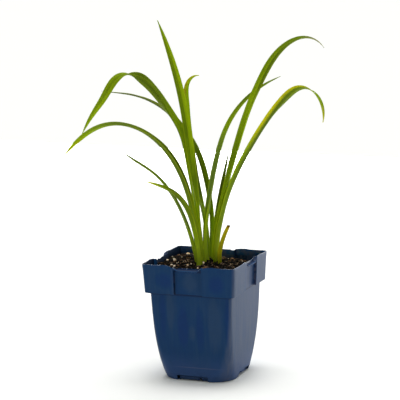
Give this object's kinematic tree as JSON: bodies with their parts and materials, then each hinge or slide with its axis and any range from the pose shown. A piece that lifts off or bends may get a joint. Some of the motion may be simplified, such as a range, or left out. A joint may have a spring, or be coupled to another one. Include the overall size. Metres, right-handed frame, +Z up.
{
  "type": "potted plant",
  "caption": "young daylily with long folded strap leaves arching both ways, growing in a square tapered blue nursery pot with a wide rim band, filled with peat, bark and perlite",
  "frame": {"origin": "middle of the pot's flat underside, on the surface it stands on", "axes": "+Z up along the plant; +X along the pot's front edge to the right, and the leaves arch mostly towards -X and +X; -Y is the pot's front"},
  "size_m": [0.3214, 0.1741, 0.4146],
  "materials": {
    "moulded_blue_plastic": "dark blue moulded polypropylene, satin, lightly scuffed",
    "peat_and_bark": null,
    "leaf_green": null,
    "leaf_amber": null
  },
  "bodies": {
    "root": {"pot": "moulded_blue_plastic", "soil": "peat_and_bark", "leaf_left_low_thin": "leaf_green", "leaf_left_low_front": "leaf_green", "leaf_left_arch": "leaf_green", "leaf_left_broad": "leaf_green", "leaf_left_tall": "leaf_green", "leaf_centre_hooked": "leaf_green", "leaf_back_arch": "leaf_green", "leaf_right_back": "leaf_green", "leaf_right_short": "leaf_green", "leaf_right_tall": "leaf_green", "leaf_right_arch": "leaf_green", "leaf_right_stub": "leaf_amber"}
  },
  "joints": []
}
